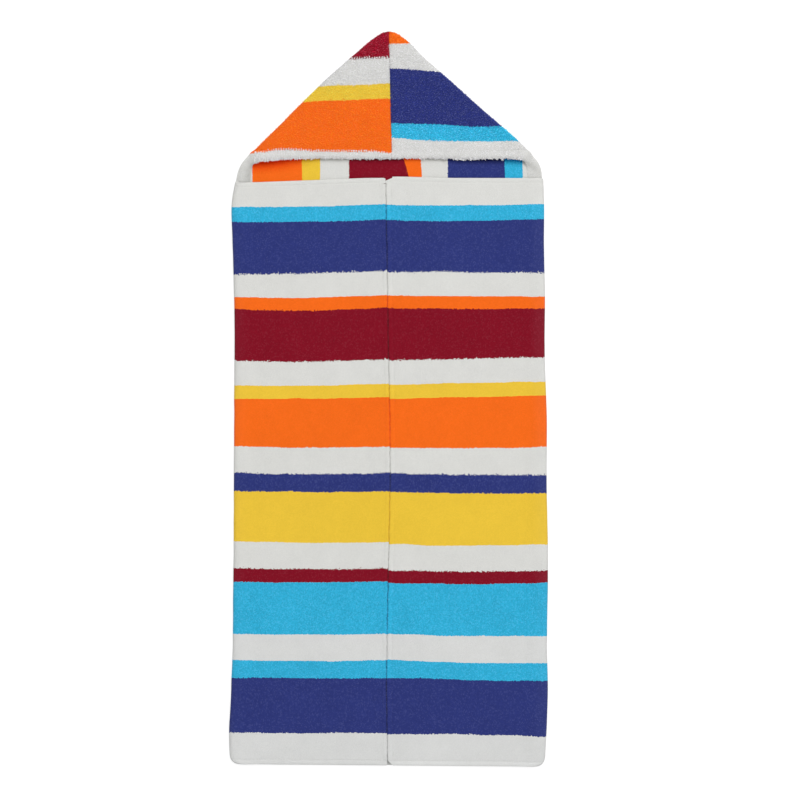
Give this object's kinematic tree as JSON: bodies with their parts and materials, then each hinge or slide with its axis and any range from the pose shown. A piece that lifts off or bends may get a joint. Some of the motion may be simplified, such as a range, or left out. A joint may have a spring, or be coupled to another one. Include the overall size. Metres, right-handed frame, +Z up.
{
  "type": "hooded towel",
  "caption": "Child's striped terry towel with a hood, lying flat with both sides folded to the front.",
  "frame": {"origin": "centre of the towel's outline as it lies, on the surface under it", "axes": "+Z up, square to the surface; +Y along the towel towards the hood's tip; +X across it, to the right as seen from above"},
  "size_m": [0.489, 1.1303, 0.0108],
  "materials": {
    "body_terry": "sheared terry in white, cyan, navy, orange, crimson and yellow stripes",
    "body_hem": "turned and topstitched terry",
    "hood_terry": "striped terry, looped outside and sheared inside",
    "brim_loops": "white looped terry"
  },
  "bodies": {
    "root": {"body_cloth": "body_terry", "front_hem_left": "body_hem", "front_hem_right": "body_hem", "neck_hem_left": "body_hem", "neck_hem_right": "body_hem", "bottom_hem": "body_hem", "hood_cloth": "hood_terry", "brim_hem_left": "brim_loops", "brim_hem_right": "brim_loops"}
  },
  "joints": []
}
